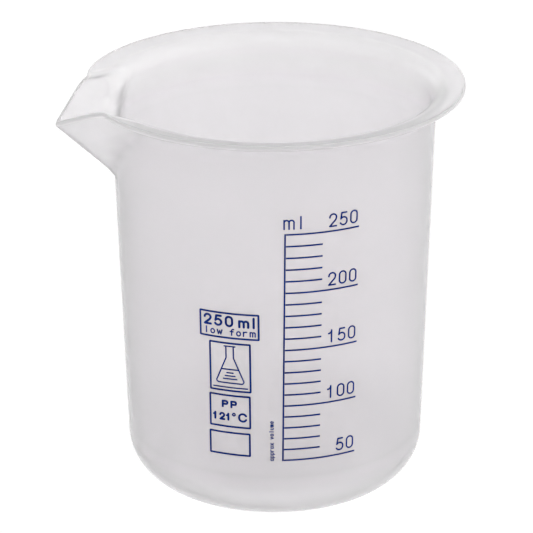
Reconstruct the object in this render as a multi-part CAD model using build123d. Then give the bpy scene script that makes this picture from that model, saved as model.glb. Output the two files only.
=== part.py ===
from build123d import *
import os
from math import cos, degrees, radians, sin, tan

# A 250 ml low-form beaker: one moulded polypropylene vessel with a flared rim and a
# V-shaped pouring spout, and the blue marks printed on its wall. Millimetres, +Z up.
# The origin is the centre of the face the beaker stands on; the spout points along -X.

# ---- vessel -----------------------------------------------------------------------
height = 95.0            # standing plane to the top of the rim
rim_radius = 43.1        # outer edge of the flared rim
base_radius = 33.9       # outer wall carried down to the standing plane
draft = 1.7              # degrees that each side of the wall leans outwards
wall = 1.3               # wall thickness
floor_thickness = 1.6
heel_radius = 10.3       # outside rounding between floor and wall
rim_slope = 10.0         # degrees that the top of the rim rises outwards
underside_slope = 14.0   # degrees of the rim's underside, so the rim thins to its lip
lip_thickness = 0.9      # height of the rim's outer edge
lip_rounding = 0.35
rim_inner_bend = 5.5     # rounding from the inner wall into the rim
rim_outer_bend = 4.2     # rounding from the outer wall into the rim's underside
foot_recess_radius = 19.0
foot_recess_depth = 0.4
gate_radius = 1.6        # stub left by the moulding gate, inside the foot recess
gate_height = 0.25

# ---- spout ------------------------------------------------------------------------
spout_half_angle = 18.1  # from the spout's axis to the corner where it leaves the rim
spout_reach = 49.7       # outer tip, from the vessel's axis
spout_tip_height = 88.2  # outer tip, above the standing plane
spout_foot_height = 75.5 # where the spout's keel leaves the wall
spout_wall = 1.0         # thickness of the spout's two flat sides
keel_rounding = 0.5
trough_start = 20.0      # the spout's prism begins this far from the vessel's axis, in the cavity
trough_height = 45.0     # the prism's height before the lip is cut

# ---- print ------------------------------------------------------------------------
ink = 0.06               # thickness of the ink
line_width = 0.37
ink_gap = 0.03           # kept between the scale's upright line and the lines beside it
scale_angle = -98.6      # the scale's upright line, seen from above, from +X
scale_angle_height = 45.0
print_skew = 0.0156      # degrees that the print turns for each millimetre of height
first_volume = 50
last_volume = 250
volume_step = 10
major_step = 50
first_mark = 17.15       # height of the 50 ml line
first_pitch = 2.706      # from the 50 ml line to the 60 ml line
pitch_growth = 0.0045    # each 10 ml step is this much taller than the one below
major_length = 17.0
minor_length = 8.35
numeral_end = 16.6       # right edge of the numerals, along the wall from the upright line
numeral_lift = 0.95      # from a long line to the foot of its numeral
numeral_height = 3.2
numeral_width = 1.9
numeral_pitch = 2.5
numeral_stroke = 0.36
panel_left = -16.85      # the panels beside the scale
panel_right = -7.2
panel_stroke = 0.42
bold_stroke = 0.46       # the panels' figures
fine_stroke = 0.30       # the pictogram and the panels' small words

slope = tan(radians(draft))
clearance = 10.0         # how far a cutting shape runs on past what it cuts


def wall_radius(z):
    """Radius of the outer wall at a height."""
    return base_radius + slope * z


def mark_height(volume):
    """Height of the printed line for a volume in ml."""
    steps = (volume - first_volume) / volume_step
    return first_mark + steps * first_pitch + pitch_growth * steps * (steps - 1) / 2


def line_crossing(point_a, angle_a, point_b, angle_b):
    """Where two lines in the profile plane cross; angles are from the radial axis."""
    ax, az = point_a
    bx, bz = point_b
    ux, uz = cos(radians(angle_a)), sin(radians(angle_a))
    vx, vz = cos(radians(angle_b)), sin(radians(angle_b))
    run = ((bx - ax) * vz - (bz - az) * vx) / (ux * vz - uz * vx)
    return ax + ux * run, az + uz * run


def turned(points, radii):
    """The solid turned by a closed profile in the XZ plane with rounded corners."""
    outline = FilletPolyline(*[(x, 0, z) for x, z in points], radius=radii, close=True)
    return revolve(make_face(outline), Axis.Z)


def body_solid():
    """The vessel as if it were solid: floor, heel, wall and rim."""
    lip_foot = (rim_radius, height - lip_thickness)
    corner = line_crossing((base_radius, 0), 90 - draft, lip_foot, underside_slope)
    points = [(0, 0), (base_radius, 0), corner, lip_foot, (rim_radius, height), (0, height)]
    return turned(points, [0, heel_radius, rim_outer_bend, lip_rounding, 0, 0])


def cavity():
    """The space inside the vessel, opening out over the sloping top of the rim."""
    side = wall / cos(radians(draft))
    rim_edge = (rim_radius, height)
    foot = line_crossing((base_radius - side, 0), 90 - draft, (0, floor_thickness), 0)
    corner = line_crossing(foot, 90 - draft, rim_edge, rim_slope)
    outside = (rim_radius + clearance, height + clearance * tan(radians(rim_slope)))
    top = height + 2 * clearance
    points = [(0, floor_thickness), foot, corner, outside, (outside[0], top), (0, top)]
    return turned(points, [0, heel_radius - wall, rim_inner_bend, 0, 0, 0])


def foot_recess():
    """The shallow hollow under the floor that leaves a ring to stand on."""
    hollow = Cone(foot_recess_radius, foot_recess_radius - 1, foot_recess_depth,
                  align=(Align.CENTER, Align.CENTER, Align.MIN))
    gate = Cylinder(gate_radius, gate_height, align=(Align.CENTER, Align.CENTER, Align.MAX))
    return hollow - Pos(0, 0, foot_recess_depth) * gate


# The spout is built along +X and turned round at the end. Its outside is a V-shaped
# prism whose keel runs from the wall up to the tip.
keel_foot = (wall_radius(spout_foot_height), spout_foot_height)
keel_rise = (spout_tip_height - keel_foot[1]) / (spout_reach - keel_foot[0])
corner_x = rim_radius * cos(radians(spout_half_angle))
corner_y = rim_radius * sin(radians(spout_half_angle))
keel_under_corner = keel_foot[1] + keel_rise * (corner_x - keel_foot[0])
side_spread = corner_y / (height - keel_under_corner)


def trough(lift, end, tall):
    """A V-shaped prism that rises along the keel, its apex lifted above the keel."""
    foot = keel_foot[1] + keel_rise * (trough_start - keel_foot[0]) + lift
    half = side_spread * tall
    section = make_face(Polyline((trough_start, 0, foot), (trough_start, half, foot + tall),
                                 (trough_start, -half, foot + tall), close=True))
    along = Vector(end - trough_start, 0, keel_rise * (end - trough_start))
    return extrude(section, amount=along.length, dir=along.normalized())


def above_lip(start):
    """What lies above the rim plane, and beyond its corners above the plane that droops to the tip."""
    droop = (height - spout_tip_height) / (spout_reach - corner_x)
    far = 6 * clearance
    end = corner_x + far
    outline = Polyline((start, 0, height), (corner_x, 0, height), (end, 0, height - droop * far),
                       (end, 0, height + far), (start, 0, height + far), close=True)
    return extrude(make_face(outline), amount=far, both=True)


def vessel():
    """The moulded vessel, its spout along -X."""
    across = Vector(1, 0, keel_rise).cross(Vector(0, side_spread, 1)).normalized()
    lift = spout_wall / abs(across.Z)
    outside = trough(0, spout_reach + clearance, trough_height)
    keel = outside.edges().filter_by(lambda edge: abs(edge.center().Y) < 0.01 and edge.length > trough_start)
    outside = fillet(keel, keel_rounding) - above_lip(0)
    inside = trough(lift, spout_reach + 2 * clearance, trough_height + clearance)
    shape = body_solid() + outside - cavity() - inside - above_lip(corner_x - spout_wall) - foot_recess()
    return Rot(0, 0, 180) * shape


# ---- print: placing a flat mark on the wall ---------------------------------------
def print_angle(along, z):
    """Angle of a place on the wall, a length along it from the scale's upright line."""
    skew = print_skew * (z - scale_angle_height)
    return scale_angle + skew + degrees(along / wall_radius(z))


def ink_layer(low, high):
    """The thin layer just outside the wall between two heights."""
    inner_low, inner_high = wall_radius(low), wall_radius(high)
    section = make_face(Polyline((inner_low, 0, low), (inner_low + ink, 0, low),
                                 (inner_high + ink, 0, high), (inner_high, 0, high), close=True))
    return revolve(section, Axis.Z)


def stamped(sketch, along, z):
    """A flat mark laid on the wall, its own origin at the place given."""
    angle = radians(print_angle(along, z))
    radius = wall_radius(z)
    plane = Plane(origin=(radius * cos(angle), radius * sin(angle), z),
                  x_dir=(-sin(angle), cos(angle), 0), z_dir=(cos(angle), sin(angle), 0))
    box = sketch.bounding_box()
    block = extrude(plane * sketch, amount=2, both=True)
    return block & ink_layer(z + box.min.Y - 1, z + box.max.Y + 1)


def chord(length, z):
    """Straight width of a mark whose length along the round wall is given."""
    return 2 * wall_radius(z) * sin(length / wall_radius(z) / 2)


def ruled_line(length, z):
    """A level line of the scale, from beside its upright line."""
    start = line_width / 2 + ink_gap
    return stamped(Rectangle(chord(length - start, z), line_width), (start + length) / 2, z)


def upright_line(low, high):
    """The scale's upright line, which leans with the print's skew."""
    middle = (low + high) / 2
    lean = radians(print_skew) * wall_radius(middle) * (high - low) / 2
    reach = (high - low) / 2 + line_width / 2
    half = line_width / 2
    outline = Polyline((-lean - half, -reach), (half - lean, -reach), (lean + half, reach),
                       (lean - half, reach), close=True)
    return stamped(make_face(outline), 0, middle)


# ---- print: letters drawn with one round-ended stroke ------------------------------
def stroke(width, *edges):
    """An open line of the given edges, drawn with a round pen."""
    return Sketch() + Face(Wire(list(edges)).offset_2d(width / 2))


def ring(width, across, tall):
    """A closed oval drawn with a round pen; the size is of its centre line."""
    if tall - across < 0.05:
        return Circle((across + width) / 2) - Circle((across - width) / 2)
    outer = SlotOverall(tall + width, across + width, rotation=90)
    return outer - SlotOverall(tall - width, across - width, rotation=90)


def arc(start, middle, end):
    return ThreePointArc(start, middle, end).edge()


def path(*points):
    return [Line(first, second).edge() for first, second in zip(points, points[1:])]


# Each letter is drawn in a cell from (0, 0) to (w, h), which its pen's centre line fills.
def digit_0(pen, w, h):
    return Pos(w / 2, h / 2) * ring(pen, w, h)


def digit_1(pen, w, h):
    flag = stroke(pen, arc((0.1 * w, 0.72 * h), (0.38 * w, 0.78 * h), (0.55 * w, h)))
    return flag + stroke(pen, *path((0.55 * w, h), (0.55 * w, 0)))


def digit_2(pen, w, h):
    top = arc((0, 0.72 * h), (0.52 * w, h), (w, 0.72 * h))
    turn = arc((w, 0.72 * h), (0.92 * w, 0.56 * h), (0.74 * w, 0.43 * h))
    return stroke(pen, top, turn, *path((0.74 * w, 0.43 * h), (0, 0), (w, 0)))


def digit_5(pen, w, h):
    top = path((0.94 * w, h), (0.2 * w, h), (0.06 * w, 0.5 * h))
    bowl = [arc((0.06 * w, 0.5 * h), (0.62 * w, 0.62 * h), (w, 0.33 * h)),
            arc((w, 0.33 * h), (0.52 * w, 0), (0, 0.16 * h))]
    return stroke(pen, *top) + stroke(pen, *bowl)


def letter_m(pen, w, h):
    stem = stroke(pen, *path((0, 0), (0, h)))
    shoulder = 0.66 * h
    for left in (0, w / 2):
        right = left + w / 2
        arch = arc((left, shoulder), ((left + right) / 2, h), (right, shoulder))
        stem = stem + stroke(pen, arch, *path((right, shoulder), (right, 0)))
    return stem


def letter_l(pen, w, h):
    return stroke(pen, *path((w / 2, 0), (w / 2, h)))


def letter_P(pen, w, h):
    bend = (0.64 * w, 0.47 * h)
    bowl = [Line((0, h), (0.64 * w, h)).edge(), arc((0.64 * w, h), (w, 0.735 * h), bend),
            Line(bend, (0, 0.47 * h)).edge()]
    return stroke(pen, *path((0, 0), (0, h))) + stroke(pen, *bowl)


def letter_C(pen, w, h):
    upper = arc((w, 0.76 * h), (0.52 * w, h), (0, h / 2))
    lower = arc((0, h / 2), (0.52 * w, 0), (w, 0.24 * h))
    return stroke(pen, upper, lower)


def letter_o(pen, w, h):
    return Pos(w / 2, h / 2) * ring(pen, w, h)


def letter_a(pen, w, h):
    return letter_o(pen, w, h) + stroke(pen, *path((w, 0), (w, h)))


def letter_p(pen, w, h):
    return letter_o(pen, w, h) + stroke(pen, *path((0, h), (0, -0.45 * h)))


def letter_r(pen, w, h):
    shoulder = arc((0, 0.6 * h), (0.3 * w, 0.95 * h), (0.9 * w, h))
    return stroke(pen, *path((0, 0), (0, h))) + stroke(pen, shoulder)


def letter_x(pen, w, h):
    return stroke(pen, *path((0, 0), (w, h))) + stroke(pen, *path((0, h), (w, 0)))


def letter_v(pen, w, h):
    return stroke(pen, *path((0, h), (w / 2, 0), (w, h)))


def letter_w(pen, w, h):
    return stroke(pen, *path((0, h), (w / 4, 0), (w / 2, 0.8 * h), (0.75 * w, 0), (w, h)))


def letter_u(pen, w, h):
    bend = 0.4 * h
    bowl = arc((0, bend), (w / 2, 0), (w, bend))
    return stroke(pen, *path((0, h), (0, bend)), bowl, *path((w, bend), (w, h)))


def letter_e(pen, w, h):
    upper = arc((w, h / 2), (w / 2, h), (0, h / 2))
    lower = arc((0, h / 2), (0.45 * w, 0), (0.9 * w, 0.16 * h))
    return stroke(pen, upper) + stroke(pen, lower) + stroke(pen, *path((0, h / 2), (w, h / 2)))


def letter_f(pen, w, h):
    hook = arc((0.4 * w, 0.8 * h), (0.55 * w, 0.96 * h), (w, h))
    bar = stroke(pen, *path((0, 0.62 * h), (0.85 * w, 0.62 * h)))
    return stroke(pen, *path((0.4 * w, 0), (0.4 * w, 0.8 * h)), hook) + bar


DRAWN = {"0": digit_0, "1": digit_1, "2": digit_2, "5": digit_5, "m": letter_m, "l": letter_l,
         "P": letter_P, "C": letter_C, "o": letter_o, "a": letter_a, "p": letter_p, "r": letter_r,
         "x": letter_x, "v": letter_v, "w": letter_w, "u": letter_u, "e": letter_e, "f": letter_f}


def letter(name, pen, width, tall):
    """One letter whose inked size is the width and height given, its lower left at 0, 0."""
    return Pos(pen / 2, pen / 2) * DRAWN[name](pen, width - pen, tall - pen)


def lettered(letters, foot):
    """Letters stamped one by one; each is (name, left edge along the wall, pen, width, height)."""
    marks = [stamped(Pos(-width / 2, 0) * letter(name, pen, width, tall), left + width / 2, foot)
             for name, left, pen, width, tall in letters]
    return Compound(children=[solid for mark in marks for solid in mark.solids()])


def numeral(volume):
    """The number printed over a long line, its last digit level with the others."""
    digits = str(volume)
    letters = []
    for place, name in enumerate(reversed(digits)):
        left = numeral_end - numeral_width - place * numeral_pitch
        letters.append((name, left, numeral_stroke, numeral_width, numeral_height))
    return lettered(letters, mark_height(volume) + numeral_lift)


def panel_frame(left, right, low, high):
    """The outline of a rectangular printed panel with slightly rounded corners."""
    middle = (low + high) / 2
    outer = RectangleRounded(chord(right - left, middle), high - low, 0.3)
    inner = Rectangle(chord(right - left, middle) - 2 * panel_stroke, high - low - 2 * panel_stroke)
    return stamped(outer - inner, (left + right) / 2, middle)


# ---- print: what is printed ----------------------------------------------------------
def minor_ticks():
    """The short lines at every 10 ml between the long ones."""
    volumes = [volume for volume in range(first_volume, last_volume, volume_step) if volume % major_step]
    return Compound(children=[ruled_line(minor_length, mark_height(volume)) for volume in volumes])


def unit_mark():
    """The letters ml over the scale's upright line."""
    foot = mark_height(last_volume) + 1.15
    pen = numeral_stroke
    return lettered([("m", -0.42, pen, 2.5, 2.4), ("l", 3.22, pen, pen, 3.15)], foot)


def volume_note():
    """Small lettering that reads upwards beside the scale: approx volume."""
    pen, width, tall, pitch, middle = 0.19, 0.64, 0.8, 0.78, 22.0
    words = "approx volume"
    line = Sketch()
    for place, name in enumerate(words):
        if name != " ":
            height_factor = 1.35 if name == "l" else 1
            line = line + Pos(place * pitch, 0) * letter(name, pen, width, tall * height_factor)
    length = (len(words) - 1) * pitch + width
    upright = Rot(0, 0, 90) * Pos(-length / 2, 0) * line
    return stamped(upright, -2.05, middle)


def capacity_text():
    """The vessel's nominal size in its panel: 250 ml over the words low form."""
    pen, width, tall, pitch, left, foot = 0.52, 1.95, 2.75, 2.5, -18.2, 49.55
    upper = [(name, left + place * pitch, pen, width, tall) for place, name in enumerate("250")]
    upper += [("m", -10.15, pen, 2.5, 1.95), ("l", -6.95, pen, pen, tall)]
    pen, width, tall, pitch, left = fine_stroke, 1.1, 1.3, 1.5, -18.1
    lower = []
    for place, name in enumerate("low form"):
        if name != " ":
            letter_width = 1.4 if name in "wm" else width
            letter_height = 1.7 if name in "lf" else tall
            lower.append((name, left + place * pitch, pen, letter_width, letter_height))
    return lettered(upper, foot) + lettered(lower, 47.5)


def flask_pictogram():
    """A plain drawing of a conical flask with liquid in it, on a hot-plate line."""
    pen = fine_stroke
    side = [(-0.85, 5.1), (-0.85, 2.3), (-3.0, -3.0)]
    left = path(*side)
    bend = arc((-3.0, -3.0), (-3.05, -3.65), (-2.5, -3.9))
    right = path(*[(-x, y) for x, y in side])
    right_bend = arc((3.0, -3.0), (3.05, -3.65), (2.5, -3.9))
    glass = stroke(pen, *left, bend, *path((-2.5, -3.9), (2.5, -3.9))) + stroke(pen, *right, right_bend)
    lip = stroke(pen, *path((-1.25, 5.1), (1.25, 5.1)))
    level = stroke(pen, *path((-2.0, -0.55), (2.0, -0.55)))
    rules = Sketch()
    for row in range(3):
        half = 1.55 - 0.42 * row
        rules = rules + stroke(pen, *path((-half, -2.9 + 0.75 * row), (half, -2.9 + 0.75 * row)))
    bench = stroke(pen, *path((-3.9, -5.0), (3.9, -5.0)))
    return stamped(glass + lip + level + rules + bench, (panel_left + panel_right) / 2, 39.75)


def resin_code():
    """The letters PP, for polypropylene."""
    return lettered([("P", left, bold_stroke, 1.55, 1.85) for left in (-13.9, -11.9)], 29.65)


def temperature_mark():
    """121 degrees C, the temperature the plastic is rated to."""
    pen, tall = bold_stroke, 1.95
    figures = [("1", -16.1, pen, 1.2, tall), ("2", -14.5, pen, 1.4, tall), ("1", -13.0, pen, 1.2, tall)]
    sign = stamped(ring(fine_stroke, 0.6, 0.6), -11.1, 28.1)
    return lettered(figures, 26.45) + sign + lettered([("C", -10.1, pen, 2.05, 2.3)], 26.35)


def parts():
    """Every sub-part by name."""
    majors = range(first_volume, last_volume + 1, major_step)
    made = {"beaker_vessel": vessel(), "scale_spine": upright_line(first_mark, mark_height(last_volume))}
    for volume in majors:
        made[f"graduation_line_{volume}"] = ruled_line(major_length, mark_height(volume))
        made[f"numeral_{volume}"] = numeral(volume)
    made["minor_graduation_ticks"] = minor_ticks()
    made["unit_mark_ml"] = unit_mark()
    made["volume_note"] = volume_note()
    made["capacity_panel_frame"] = panel_frame(-19.25, -5.4, 46.7, 53.05)
    made["capacity_panel_text"] = capacity_text()
    made["pictogram_panel_frame"] = panel_frame(panel_left, panel_right, 33.75, 45.8)
    made["flask_pictogram"] = flask_pictogram()
    made["material_panel_frame"] = panel_frame(panel_left, panel_right, 24.8, 32.95)
    made["resin_code"] = resin_code()
    made["temperature_mark"] = temperature_mark()
    made["write_on_panel_frame"] = panel_frame(panel_left, panel_right, 17.85, 23.7)
    return made


def main():
    os.makedirs("parts", exist_ok=True)
    for name, shape in parts().items():
        export_step(shape, f"parts/{name}.step")


if __name__ == "__main__":
    main()
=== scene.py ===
"""A 250 ml polypropylene beaker with a V-shaped spout and a blue printed scale, on a white sweep."""
import math

import bpy
import numpy as np
from mathutils import Matrix, Vector


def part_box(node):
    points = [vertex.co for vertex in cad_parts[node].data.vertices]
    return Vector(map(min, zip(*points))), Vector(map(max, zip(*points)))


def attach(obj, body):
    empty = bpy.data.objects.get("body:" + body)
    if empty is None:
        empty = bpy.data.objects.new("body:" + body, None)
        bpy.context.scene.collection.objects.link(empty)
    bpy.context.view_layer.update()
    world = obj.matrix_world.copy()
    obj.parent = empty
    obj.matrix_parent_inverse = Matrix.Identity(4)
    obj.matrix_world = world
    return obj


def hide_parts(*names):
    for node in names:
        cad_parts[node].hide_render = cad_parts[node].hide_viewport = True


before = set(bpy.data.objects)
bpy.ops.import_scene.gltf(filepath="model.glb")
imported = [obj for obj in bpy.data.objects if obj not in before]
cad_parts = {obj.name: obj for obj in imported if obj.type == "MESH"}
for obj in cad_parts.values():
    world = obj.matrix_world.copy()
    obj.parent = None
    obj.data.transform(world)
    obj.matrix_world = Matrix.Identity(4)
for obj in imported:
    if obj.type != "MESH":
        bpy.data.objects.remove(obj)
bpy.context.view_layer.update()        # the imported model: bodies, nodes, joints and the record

MM = 0.001
VESSEL = "beaker_vessel"

# ---- vessel, in millimetres ---------------------------------------------------------
vessel_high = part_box(VESSEL)[1]
HEIGHT = vessel_high.z / MM
RIM_RADIUS = vessel_high.y / MM
BASE_RADIUS = 33.9       # outer wall carried down to the standing plane
DRAFT = math.tan(math.radians(1.7))
WALL = 1.3
FLOOR_THICKNESS = 1.6
HEEL_RADIUS = 10.3
RIM_SLOPE = math.tan(math.radians(10.0))
UNDERSIDE_SLOPE = math.tan(math.radians(14.0))
LIP_THICKNESS = 0.9
LIP_BULGE = 0.4          # how far the rounded lip stands out from where its two faces end
RIM_INNER_BEND = 3.8
RIM_OUTER_BEND = 4.2
RECESS_RADIUS = 19.0     # the shallow hollow under the floor
RECESS_DEPTH = 0.4
RECESS_SLOPE = 1.0       # how far its side leans in
GATE_RADIUS = 1.6        # the moulding gate's mark in its middle
GATE_HEIGHT = 0.25
GATE_ROUNDING = 0.08
RECESS_ROUNDING = 0.3
RIM_RUN = 0.55           # longest step between rows where the spout and the rim are
WALL_RUN = 3.0           # and on the plain wall
ARC_STEP = 0.5           # step between rows on an arc

# ---- spout --------------------------------------------------------------------------
SPOUT_HALF_ANGLE = math.radians(18.1)
SPOUT_REACH = 50.1
SPOUT_TIP_HEIGHT = 88.2
SPOUT_FOOT_HEIGHT = 75.0
SPOUT_WALL = 1.0
SPOUT_ZONE = 68.0        # the spout changes nothing below this height
KEEL_ROUNDING = 0.009    # of the outer keel, as a share of its distance from the axis
TROUGH_ROUNDING = 0.005
SPOUT_LIP = 0.95         # height of the blunt edge along the spout
SPOUT_INNER_DROP = 0.3   # how far below that edge's top the spout's inside ends
SPOUT_BULGE = 0.35       # how far the blunt edge stands out from, and above, where its two faces end
SPOUT_CROWN = 0.5
CORNER_ROUNDING = 0.8    # how softly the lip turns down at the spout's corners
OUTER_CREASE = 1.4       # width over which the spout's outside melts into the wall
INNER_CREASE = 2.2
RIM_OUTER_DROP = 1.0     # how far below the lip's top the outside of the rim ends
RIM_INNER_DROP = 0.07    # and its inside
LIP_CHANGE = (SPOUT_HALF_ANGLE - 0.06, SPOUT_HALF_ANGLE + 0.09)    # angles where one lip becomes the other
LIP_ROWS = 9
LIP_FLATNESS = 2.6       # 2 is a round lip, and more is a squarer one
FINE_ZONE = 34           # degrees to each side of the spout that have close columns
FINE_COLUMN = 0.5        # degrees between columns there
COLUMN = 1.25            # and elsewhere

# ---- plastic: where it is milkier, and where light and shade are painted into its colour ---
CLARITY = 0.75           # share of the light that goes through a face without being scattered
MILKY_CLARITY = 0.05     # the same at a milkiness of 1
BEND_MILKINESS = 0.32    # on the inside of the rim's bend
FOLD_MILKINESS = 0.6     # on the inside of the folds between the spout and the rim
RIM_MILKINESS = 0.11     # on the flared rim
SPOUT_MILKINESS = 0.15   # on the spout
HEEL_MILKINESS = 0.27    # in the thick heel
LIP_MILKINESS = 0.43     # along the lip, which is seen edge on
PAINTED_LIGHT = 0.02     # painted light: how much lighter the plastic's colour is painted in the spout, the rim, the bends and the folds
PAINTED_HEEL_SHADE = -0.03    # painted shade: how much darker the plastic's colour is painted in the heel
HEEL_HEIGHTS = (14.0, 4.0)       # the heel sets in between these heights
BEND_HEIGHTS = (82.0, 92.0)      # the rim's bend
FLARE_RADII = (37.5, 39.5)       # the flared rim
SPOUT_RADII = (35.5, 39.0)       # the spout
FOLD_WIDTH = 1.5         # width of a fold, in widths of its crease
SPOUT_BLEND = 1.0        # the wall becomes the spout from this far inside their crossing to as far outside it
SPECK_SIZE = 0.02        # specks in the moulding, as a share of the pattern's cells

# ---- camera and light -----------------------------------------------------------------
CAMERA_AZIMUTH = -12.0
CAMERA_ELEVATION = 22.779
CAMERA_DISTANCE = 674.8
CAMERA_AIM = (-1.72, 0.37, 49.80)
CAMERA_ROLL = -0.299
CAMERA_LENS = 197.8
SENSOR_WIDTH = 36.0
WORLD_FRONT = 0.90       # strength of the surroundings' light from the camera's side
WORLD_BACK = 0.82        # and from behind
WORLD_RIGHT = 0.60       # what is added from the right,
WORLD_LEFT = -0.05       # the left
WORLD_TOP = -0.20        # and overhead
WORLD_LOW_BACK = 0.6     # a soft bank behind, low over the horizon, that the near rim mirrors
FLOOR_GLOW = 1.03
FLOOR_SIZE = 4000
LAMP_ELEVATION = 67.0
LAMP_DISTANCE = 0.9
LAMP_SIZE = 0.12
LAMP_POWER = 0.15


# ---- outlines -------------------------------------------------------------------------
def crossing(point_a, slope_a, point_b, slope_b):
    """Where two lines in the profile plane cross; each slope is a (radius, height) direction."""
    (ax, az), (bx, bz) = point_a, point_b
    (ux, uz), (vx, vz) = slope_a, slope_b
    run = ((bx - ax) * vz - (bz - az) * vx) / (ux * vz - uz * vx)
    return ax + ux * run, az + uz * run


def rounded(points, radii):
    """Points along straight runs whose corners are arcs of the radii given."""
    line = [points[0]]
    for before, corner, after, radius in zip(points, points[1:], points[2:], radii):
        before, corner, after = map(np.array, (before, corner, after))
        back = (before - corner) / np.linalg.norm(before - corner)
        ahead = (after - corner) / np.linalg.norm(after - corner)
        opening = math.acos(float(back @ ahead))
        turn = math.pi - opening
        middle = (back + ahead) / np.linalg.norm(back + ahead)
        centre = corner + middle * radius / math.sin(opening / 2)
        start = corner + back * radius / math.tan(opening / 2) - centre
        side = 1 if back[0] * ahead[1] - back[1] * ahead[0] < 0 else -1
        count = max(3, math.ceil(turn * radius / ARC_STEP))
        for angle in np.linspace(0, side * turn, count + 1):
            c, s = math.cos(angle), math.sin(angle)
            line.append(tuple(centre + (c * start[0] - s * start[1], s * start[0] + c * start[1])))
    return line + [points[-1]]


def divided(line, longest):
    """The same line with its long runs divided; longest(height) is the longest run allowed there."""
    out = [line[0]]
    for (ar, az), (br, bz) in zip(line, line[1:]):
        count = math.ceil(math.hypot(br - ar, bz - az) / longest((az + bz) / 2))
        out += [(ar + (br - ar) * i / count, az + (bz - az) * i / count) for i in range(1, count + 1)]
    return np.array(out)


def run_length(height):
    """Long runs on the plain wall, short ones where the spout and the rim need them."""
    return RIM_RUN if height > SPOUT_ZONE else WALL_RUN


WALL_WAY = (DRAFT, 1.0)
LIP_FOOT = (RIM_RADIUS, HEIGHT - LIP_THICKNESS)
LIP_TOP = (RIM_RADIUS, HEIGHT)


def outer_outline():
    """From the centre of the underside, over the standing ring and up the wall, to the lip's lower edge."""
    under_rim = crossing((BASE_RADIUS, 0), WALL_WAY, LIP_FOOT, (1, UNDERSIDE_SLOPE))
    end = (RIM_RADIUS - LIP_BULGE, LIP_FOOT[1] - LIP_BULGE * UNDERSIDE_SLOPE)
    gate = RECESS_DEPTH - GATE_HEIGHT
    recess_edge = (RECESS_RADIUS - RECESS_SLOPE, RECESS_DEPTH)
    points = [(0, gate), (GATE_RADIUS, gate), (GATE_RADIUS + 0.1, RECESS_DEPTH), recess_edge,
              (RECESS_RADIUS, 0), (BASE_RADIUS, 0), under_rim, end]
    radii = [GATE_ROUNDING] * 2 + [RECESS_ROUNDING] * 2 + [HEEL_RADIUS, RIM_OUTER_BEND]
    return divided(rounded(points, radii), run_length)


def inner_outline():
    """From the centre of the floor, up the inside, to the lip's upper edge."""
    inside = BASE_RADIUS - WALL * math.hypot(*WALL_WAY)
    floor_corner = crossing((inside, 0), WALL_WAY, (0, FLOOR_THICKNESS), (1, 0))
    rim_corner = crossing((inside, 0), WALL_WAY, LIP_TOP, (1, RIM_SLOPE))
    end = (RIM_RADIUS - LIP_BULGE, HEIGHT - LIP_BULGE * RIM_SLOPE)
    points = [(0, FLOOR_THICKNESS), floor_corner, rim_corner, end]
    return divided(rounded(points, [HEEL_RADIUS - WALL, RIM_INNER_BEND]), run_length)


# ---- the spout, as a change to the radius of the round vessel ----------------------------
def nearness(a, b, width):
    """1 where two surfaces cross, falling to 0 where they are a width apart."""
    return np.maximum(1 - np.abs(a - b) / width, 0)


def smooth_max(a, b, width):
    """The larger of two surfaces, with the crease between them rounded over a width."""
    return np.maximum(a, b) + nearness(a, b, width) ** 2 * width / 4


def smooth_step(x, low, high):
    t = np.clip((x - low) / (high - low), 0, 1)
    return t * t * (3 - 2 * t)


KEEL_FOOT_RADIUS = BASE_RADIUS + DRAFT * SPOUT_FOOT_HEIGHT
KEEL_RISE = (SPOUT_TIP_HEIGHT - SPOUT_FOOT_HEIGHT) / (SPOUT_REACH - KEEL_FOOT_RADIUS)
KEEL_ZERO = SPOUT_FOOT_HEIGHT - KEEL_RISE * KEEL_FOOT_RADIUS
CORNER_X = RIM_RADIUS * math.cos(SPOUT_HALF_ANGLE)
CORNER_Y = RIM_RADIUS * math.sin(SPOUT_HALF_ANGLE)
SIDE_SPREAD = CORNER_Y / (HEIGHT - KEEL_ZERO - KEEL_RISE * CORNER_X)
SIDE_LIFT = SPOUT_WALL * math.sqrt(1 + (SIDE_SPREAD * KEEL_RISE) ** 2 + SIDE_SPREAD ** 2) / SIDE_SPREAD
DROOP = (HEIGHT - SPOUT_TIP_HEIGHT) / (SPOUT_REACH - CORNER_X)


def spout_radius(angle, height, lift, rounding):
    """Distance from the vessel's axis to the side of the V, along a direction from the spout's axis."""
    sideways = np.sqrt(np.sin(angle) ** 2 + rounding ** 2)
    spread = sideways + SIDE_SPREAD * KEEL_RISE * np.cos(angle)
    reach = SIDE_SPREAD * (height - KEEL_ZERO - lift) / np.maximum(spread, 0.1)
    return np.where(np.cos(angle) > 0.5, reach, 0)


def lip_height(forward):
    """Height of the lip at a distance towards the spout: level, then drooping to the tip."""
    return HEIGHT - DROOP * CORNER_ROUNDING * np.logaddexp(0, (forward - CORNER_X) / CORNER_ROUNDING)


def rim_share(angles):
    """0 along the spout's lip and 1 along the round rim."""
    return smooth_step(np.abs(angles), *LIP_CHANGE)


def between(first, second, share):
    return first + (second - first) * share


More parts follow.
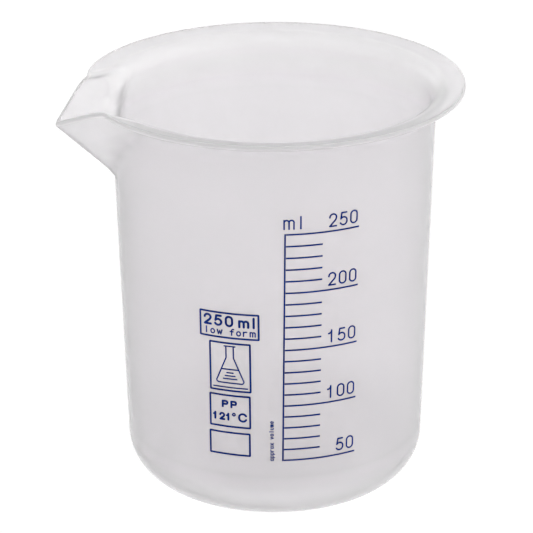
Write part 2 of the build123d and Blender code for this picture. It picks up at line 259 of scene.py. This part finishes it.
def milkiness_and_painted_light(plain, side, height, crease, bend_milkiness, fold_milkiness):
    """Milkiness and painted light of a row of points above the plain wall, from the radii that the round
    vessel and the spout have there; the painted light makes the colour lighter in the rim's bend, the spout
    and the folds."""
    bend = smooth_step(height, *BEND_HEIGHTS)
    spout = smooth_step(side, *SPOUT_RADII)
    on_spout = smooth_step(side - plain, -SPOUT_BLEND, SPOUT_BLEND)
    fold = smooth_step(nearness(plain, side, FOLD_WIDTH * crease), 0, 1)
    rim = bend * between(bend_milkiness, RIM_MILKINESS, smooth_step(plain, *FLARE_RADII))
    milkiness = np.maximum(between(rim, spout * SPOUT_MILKINESS, on_spout), fold * fold_milkiness)
    # painted light: the colour is painted lighter in the rim's bend, on the spout and along the folds
    painted_lightness = np.maximum(between(bend, spout, on_spout), fold) * PAINTED_LIGHT
    return milkiness, painted_lightness


def surface(outline, angles, lift, rounding, crease, drops, milkiness):
    """Radii, heights, milkiness and painted light and shade of one face, in rows up its outline and columns
    round its axis.
    drops is how far the face ends below the lip's height, on the spout and on the rim, and milkiness is
    that of the rim's bend and of the folds beside the spout."""
    body_r, body_z = outline[:, 0], outline[:, 1]
    first = int(np.argmax(body_z > SPOUT_ZONE))
    upper_r, upper_z = body_r[first - 1:], body_z[first - 1:]

    def both(height):
        return np.interp(height, upper_z, upper_r), spout_radius(angles, height, lift, rounding)

    drop = between(*drops, rim_share(angles))
    low, high = np.full(len(angles), SPOUT_ZONE), np.full(len(angles), HEIGHT)
    for _ in range(50):
        middle = (low + high) / 2
        above = middle + drop > lip_height(smooth_max(*both(middle), crease) * np.cos(angles))
        low, high = np.where(above, low, middle), np.where(above, middle, high)
    rows = []
    for r, z in outline[:first]:
        heel = smooth_step(z, *HEEL_HEIGHTS)
        # painted shade: the heel's colour is painted darker towards the bottom
        values = (r, z, HEEL_MILKINESS * heel, PAINTED_HEEL_SHADE * heel)
        rows.append([np.full(len(angles), value) for value in values])
    base, top = body_z[first - 1], body_z[-1]
    for z in body_z[first:]:
        height = base + (z - base) * (low - base) / (top - base)
        plain, side = both(height)
        # milkiness, and painted light that lightens the colour here
        tone = milkiness_and_painted_light(plain, side, height, crease, *milkiness)
        rows.append([smooth_max(plain, side, crease), height, *tone])
    return np.array(rows).transpose(1, 0, 2)


def lip_rows(outer_end, inner_end, angles):
    """Rows over the rounded lip, from the end of the outer face to the end of the inner one."""
    (ro, zo), (ri, zi) = outer_end, inner_end
    on_rim = rim_share(angles)
    bulge_r = between(SPOUT_BULGE, LIP_BULGE, on_rim)
    bulge_z = SPOUT_CROWN * (1 - on_rim)
    rows = []
    for t in np.linspace(0, math.pi, LIP_ROWS + 2)[1:-1]:
        across = math.copysign(abs(math.cos(t)) ** (2 / LIP_FLATNESS), math.cos(t))
        out = abs(math.sin(t)) ** (2 / LIP_FLATNESS)
        radius = (ro + ri) / 2 + across * (ro - ri) / 2 + out * bulge_r
        height = (zo + zi) / 2 + across * (zo - zi) / 2 + out * bulge_z
        rows.append((radius, height))
    return np.array(rows).transpose(1, 0, 2)


def column_angles():
    """Directions round the axis from the spout's, closer together at the spout."""
    fine = np.radians(np.arange(-FINE_ZONE, FINE_ZONE, FINE_COLUMN))
    coarse = np.radians(np.arange(FINE_ZONE, 360 - FINE_ZONE, COLUMN))
    return np.concatenate([fine, coarse])


def wrapped(angles):
    return (angles + math.pi) % (2 * math.pi) - math.pi


def mesh_object(name, vertices, faces):
    """A smooth-shaded mesh object from points in millimetres."""
    mesh = bpy.data.meshes.new(name)
    mesh.from_pydata([tuple(v) for v in np.asarray(vertices) * MM], [], faces)
    mesh.polygons.foreach_set("use_smooth", [True] * len(mesh.polygons))
    mesh.update()
    obj = bpy.data.objects.new(name, mesh)
    bpy.context.scene.collection.objects.link(obj)
    return obj


def build_vessel():
    """The moulded vessel as one closed skin of rows from under its floor, over the lip, to its floor."""
    angles = wrapped(column_angles())
    outer = surface(outer_outline(), angles, 0, KEEL_ROUNDING, OUTER_CREASE,
                    (SPOUT_LIP, RIM_OUTER_DROP), (0, 0))
    inner = surface(inner_outline(), angles, SIDE_LIFT, TROUGH_ROUNDING, INNER_CREASE,
                    (SPOUT_INNER_DROP, RIM_INNER_DROP), (BEND_MILKINESS, FOLD_MILKINESS))
    lip = lip_rows(outer[:2, -1], inner[:2, -1], angles)
    lip_milk = np.full(lip[0].shape, LIP_MILKINESS)
    # the lip takes the painted light of the outer face's top row
    lip_painted_light = np.repeat(outer[3, -1:], LIP_ROWS, axis=0)
    over = np.stack([*lip, lip_milk, lip_painted_light])
    radii, heights, milky, painted_light_and_shade = np.concatenate([outer[:, 1:], over, inner[:, :0:-1]], axis=1)
    turn = math.pi + angles
    rim_points = np.stack([radii * np.cos(turn), radii * np.sin(turn), heights], axis=-1).reshape(-1, 3)
    middles = [(0, 0, outer[1, 0, 0]), (0, 0, inner[1, 0, 0])]
    rows, columns = radii.shape
    bottom, floor = rows * columns, rows * columns + 1
    last = (rows - 1) * columns
    neighbours = [(j, (j + 1) % columns) for j in range(columns)]
    faces = []
    for row in range(0, last, columns):
        above = row + columns
        faces += [(row + j, row + k, above + k, above + j) for j, k in neighbours]
    for j, k in neighbours:
        faces += [(bottom, k, j), (floor, last + j, last + k)]
    shell = mesh_object("vessel_shell", np.vstack([rim_points, middles]), faces)
    # the milkiness and the painted light and shade go on the skin as attributes for the plastic's material
    for name, values in (("milkiness", milky), ("painted_lightness", painted_light_and_shade)):
        layer = shell.data.attributes.new(name, "FLOAT", "POINT")
        layer.data.foreach_set("value", np.append(values.ravel(), (0, 0)))
    return shell


# ---- materials ------------------------------------------------------------------------
def new_material(name):
    """A new material and its Principled node."""
    material = bpy.data.materials.new(name)
    material.use_nodes = True
    return material, material.node_tree.nodes["Principled BSDF"]


def node(tree, kind, inputs=None, **settings):
    """A shader node with its settings and inputs; an input is a plain value or another node's output."""
    made = tree.nodes.new("ShaderNode" + kind)
    for name, value in settings.items():
        setattr(made, name, value)
    for name, value in (inputs or {}).items():
        if isinstance(value, bpy.types.NodeSocket):
            tree.links.new(value, made.inputs[name])
        else:
            made.inputs[name].default_value = value
    return made


def ramp(tree, source, start, end, low, high, run="LINEAR"):
    """A run from low to high as the source goes from start to end."""
    inputs = {"Value": source, "From Min": start, "From Max": end, "To Min": low, "To Max": high}
    return node(tree, "MapRange", inputs, interpolation_type=run).outputs[0]


def combine(tree, first, second, operation="ADD"):
    """The sum of two values, or what another operation makes of them."""
    return node(tree, "Math", {0: first, 1: second}, operation=operation).outputs[0]


def noise(tree, place, scale, detail):
    return node(tree, "TexNoise", {"Vector": place, "Scale": scale, "Detail": detail}).outputs["Fac"]


def connect(tree, shader, links):
    """Links nodes' outputs to a shader's inputs, by the inputs' names."""
    for name, source in links.items():
        tree.links.new(source, shader.inputs[name])


def translucent_plastic():
    """Milky polypropylene: light passes through it and is blurred, and its skin is satin."""
    material, skin = new_material("milky_polypropylene")
    tree = material.node_tree
    place = node(tree, "TexCoord").outputs["Object"]
    milky = node(tree, "Attribute", attribute_name="milkiness").outputs["Fac"]
    # painted light and shade: lightness added to the colour from the skin's attribute
    painted_light_and_shade = node(tree, "Attribute", attribute_name="painted_lightness").outputs["Fac"]
    flow = noise(tree, place, 45.0, 3.0)
    grain = noise(tree, place, 900.0, 2.0)
    cells = node(tree, "TexVoronoi", {"Vector": place, "Scale": 85.0})
    chosen = node(tree, "SeparateXYZ", {0: cells.outputs["Color"]}).outputs["X"]
    speck = combine(tree, cells.outputs["Distance"], ramp(tree, chosen, 0.8, 1.0, 0, SPECK_SIZE), "LESS_THAN")
    # tone: random mottling, plus painted light in the rim's bend, the spout and the folds, and painted shade
    # in the heel
    tone = combine(tree, ramp(tree, flow, 0.3, 0.7, 0.955, 0.975), painted_light_and_shade)
    tone = combine(tree, tone, ramp(tree, speck, 0, 1, 1, 0.45), "MULTIPLY")
    green = ramp(tree, tone, 0, 1, 0, 0.975)
    colour = node(tree, "CombineColor", {"Red": tone, "Green": green, "Blue": tone})
    bump = node(tree, "Bump", {"Height": grain, "Strength": 0.1, "Distance": 0.00005}).outputs[0]
    waves = node(tree, "Bump", {"Height": flow, "Strength": 0.5, "Distance": 0.0001, "Normal": bump})
    connect(tree, skin, {
        "Base Color": colour.outputs[0],
        "Roughness": ramp(tree, flow, 0.3, 0.7, 0.16, 0.22),
        "Transmission Weight": ramp(tree, milky, 0, 1, CLARITY, MILKY_CLARITY),
        "Normal": waves.outputs[0]})
    skin.inputs["IOR"].default_value = 1.49
    skin.inputs["Subsurface Weight"].default_value = 1.0
    skin.inputs["Subsurface Radius"].default_value = (1, 1, 1)
    skin.inputs["Subsurface Scale"].default_value = 0.002
    depth = node(tree, "VolumeAbsorption", {"Color": (0.9, 0.87, 0.9, 1), "Density": 60.0})
    connect(tree, tree.nodes["Material Output"], {"Volume": depth.outputs[0]})
    return material


def printed_ink():
    """Dark blue screen-printing ink, a little uneven in thickness, with the mesh's grain in its skin."""
    material, skin = new_material("printed_blue_ink")
    tree = material.node_tree
    place = node(tree, "TexCoord").outputs["Object"]
    film = noise(tree, place, 260.0, 3.0)
    grain = noise(tree, place, 2600.0, 2.0)
    tone = ramp(tree, film, 0.3, 0.7, 0, 1)
    ranges = {"Red": (0.0, 0.0006), "Green": (0.010, 0.018), "Blue": (0.105, 0.155)}
    colour = node(tree, "CombineColor", {name: ramp(tree, tone, 0, 1, *ends) for name, ends in ranges.items()})
    bump = node(tree, "Bump", {"Height": grain, "Strength": 0.3, "Distance": 0.00003})
    connect(tree, skin, {
        "Base Color": colour.outputs[0],
        "Roughness": ramp(tree, grain, 0.3, 0.7, 0.42, 0.6),
        "Normal": bump.outputs[0]})
    skin.inputs["Specular IOR Level"].default_value = 0.05
    return material


# ---- scene ----------------------------------------------------------------------------
def toward_camera_side(elevation):
    """The direction from the beaker to the camera's side, at an elevation in degrees."""
    azimuth, rise = math.radians(CAMERA_AZIMUTH), math.radians(elevation)
    return Vector((math.sin(azimuth) * math.cos(rise), -math.cos(azimuth) * math.cos(rise), math.sin(rise)))


def add_camera():
    """The camera, a long lens a little above the rim."""
    place = toward_camera_side(CAMERA_ELEVATION) * CAMERA_DISTANCE * MM + Vector((0, 0, HEIGHT / 2 * MM))
    look = Vector(CAMERA_AIM) * MM - place
    data = bpy.data.cameras.new("camera")
    data.lens, data.sensor_width = CAMERA_LENS, SENSOR_WIDTH
    data.clip_start, data.clip_end = 0.05, 20
    camera = bpy.data.objects.new("camera", data)
    turn = look.to_track_quat("-Z", "Y").to_matrix() @ Matrix.Rotation(math.radians(CAMERA_ROLL), 3, "Z")
    camera.matrix_world = Matrix.Translation(place) @ turn.to_4x4()
    bpy.context.scene.collection.objects.link(camera)
    bpy.context.scene.camera = camera


def add_world():
    """White to the camera. As light, it is brightest low behind and at the right, and dimmer overhead."""
    world = bpy.data.worlds.new("white_studio")
    world.use_nodes = True
    tree = world.node_tree
    place = node(tree, "TexCoord").outputs["Generated"]
    height = node(tree, "SeparateXYZ", {0: place}).outputs["Z"]

    def toward(direction):
        """How far a light's direction points along the one given, from -1 to 1."""
        return node(tree, "VectorMath", {0: place, 1: direction}, operation="DOT_PRODUCT").outputs["Value"]

    def level(source, start, end, low, high):
        return ramp(tree, source, start, end, low, high, "SMOOTHSTEP")

    azimuth = math.radians(CAMERA_AZIMUTH)
    behind = toward((-math.sin(azimuth), math.cos(azimuth), 0))
    right = toward((math.cos(azimuth), math.sin(azimuth), 0))
    low = level(height, 0.06, 0.17, 0, 1)
    bank = combine(tree, level(behind, 0.5, 0.85, 0, WORLD_LOW_BACK), low, "MULTIPLY")
    bank = combine(tree, bank, level(height, 0.5, 0.3, 0, 1), "MULTIPLY")
    strength = level(behind, -1, 1, WORLD_FRONT, WORLD_BACK)
    for share in (level(height, 0.2, 1, 0, WORLD_TOP), level(right, 0.3, 1, 0, WORLD_RIGHT),
                  level(right, -0.3, -1, 0, WORLD_LEFT), bank):
        strength = combine(tree, strength, share)
    light = tree.nodes["Background"]
    light.inputs["Color"].default_value = (1, 1, 1, 1)
    connect(tree, light, {"Strength": strength})
    white = node(tree, "Background", {"Color": (1, 1, 1, 1)})
    seen = node(tree, "LightPath").outputs["Is Camera Ray"]
    either = node(tree, "MixShader", {0: seen, 1: light.outputs[0], 2: white.outputs[0]})
    connect(tree, tree.nodes["World Output"], {"Surface": either.outputs[0]})
    bpy.context.scene.world = world


def add_lamp():
    """A small round lamp overhead, on the camera's side."""
    way = toward_camera_side(LAMP_ELEVATION)
    data = bpy.data.lights.new("overhead_lamp", "AREA")
    data.shape, data.size, data.energy = "DISK", LAMP_SIZE, LAMP_POWER
    lamp = bpy.data.objects.new("overhead_lamp", data)
    turn = way.to_track_quat("Z", "Y").to_matrix().to_4x4()
    lamp.matrix_world = Matrix.Translation(way * LAMP_DISTANCE) @ turn
    bpy.context.scene.collection.objects.link(lamp)


def add_floor():
    """The white sweep that the beaker stands on."""
    side = FLOOR_SIZE
    floor = mesh_object("floor", [(-side, -side, 0), (side, -side, 0), (side, side, 0), (-side, side, 0)],
                        [(0, 1, 2, 3)])
    material, skin = new_material("white_floor")
    skin.inputs["Base Color"].default_value = (0, 0, 0, 1)
    skin.inputs["Roughness"].default_value = 1.0
    skin.inputs["Specular IOR Level"].default_value = 0
    skin.inputs["Emission Color"].default_value = (1, 1, 1, 1)
    skin.inputs["Emission Strength"].default_value = FLOOR_GLOW
    floor.data.materials.append(material)


vessel = build_vessel()
vessel.data.materials.append(translucent_plastic())
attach(vessel, "root")
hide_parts(VESSEL)

ink = printed_ink()
for name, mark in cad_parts.items():
    if name != VESSEL:
        for slot in mark.material_slots:
            slot.material = ink

add_camera()
add_world()
add_lamp()
add_floor()
bpy.context.scene.view_settings.view_transform = "Standard"
